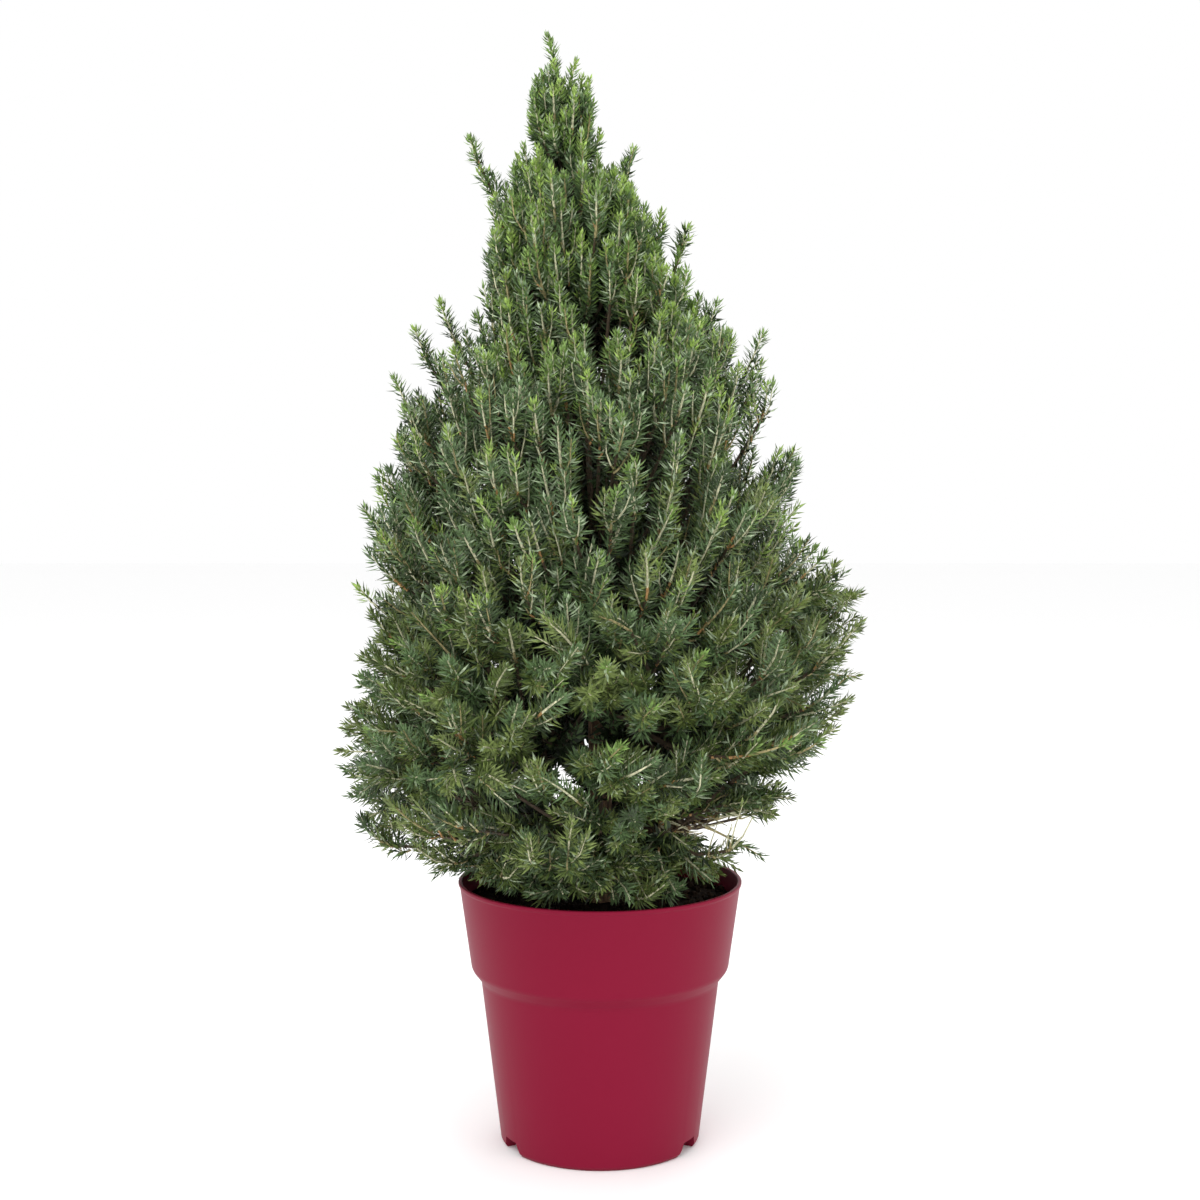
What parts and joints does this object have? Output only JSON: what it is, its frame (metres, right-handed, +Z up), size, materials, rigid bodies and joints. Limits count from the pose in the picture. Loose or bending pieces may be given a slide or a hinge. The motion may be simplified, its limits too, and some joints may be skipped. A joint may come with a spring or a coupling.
{
  "type": "potted dwarf conical spruce",
  "caption": "Small conical spruce with a leaning leader and dense upright shoots, growing in a plain tapered plastic nursery pot with a stepped band.",
  "frame": {"origin": "middle of the pot's flat underside", "axes": "+Z up along the pot's axis, -Y to the plant's front, +X to its right"},
  "size_m": [0.3567, 0.3714, 0.734],
  "materials": {
    "pot": "satin",
    "soil": "matte",
    "bark": "matte",
    "needles": "satin"
  },
  "bodies": {
    "root": {"bough_lower_1": "bark", "bough_lower_2": "bark", "bough_lower_3": "bark", "bough_lower_4": "bark", "bough_lower_5": "bark", "bough_lower_6": "bark", "bough_middle_1": "bark", "bough_middle_2": "bark", "bough_middle_3": "bark", "bough_middle_4": "bark", "bough_middle_5": "bark", "bough_skirt_1": "bark", "bough_skirt_2": "bark", "bough_skirt_3": "bark", "bough_skirt_4": "bark", "bough_skirt_5": "bark", "bough_skirt_6": "bark", "bough_upper_1": "bark", "bough_upper_2": "bark", "bough_upper_3": "bark", "bough_upper_4": "bark", "bough_upper_5": "bark", "foliage_leader": "needles", "foliage_lower_1": "needles", "foliage_lower_2": "needles", "foliage_lower_3": "needles", "foliage_lower_4": "needles", "foliage_lower_5": "needles", "foliage_lower_6": "needles", "foliage_middle_1": "needles", "foliage_middle_2": "needles", "foliage_middle_3": "needles", "foliage_middle_4": "needles", "foliage_middle_5": "needles", "foliage_shoulder_1": "needles", "foliage_shoulder_2": "needles", "foliage_shoulder_3": "needles", "foliage_shoulder_4": "needles", "foliage_skirt_1": "needles", "foliage_skirt_2": "needles", "foliage_skirt_3": "needles", "foliage_skirt_4": "needles", "foliage_skirt_5": "needles", "foliage_skirt_6": "needles", "foliage_spire_1": "needles", "foliage_spire_2": "needles", "foliage_spire_3": "needles", "foliage_upper_1": "needles", "foliage_upper_2": "needles", "foliage_upper_3": "needles", "foliage_upper_4": "needles", "foliage_upper_5": "needles", "pot": "pot", "soil": "soil", "trunk": "bark"}
  },
  "joints": []
}
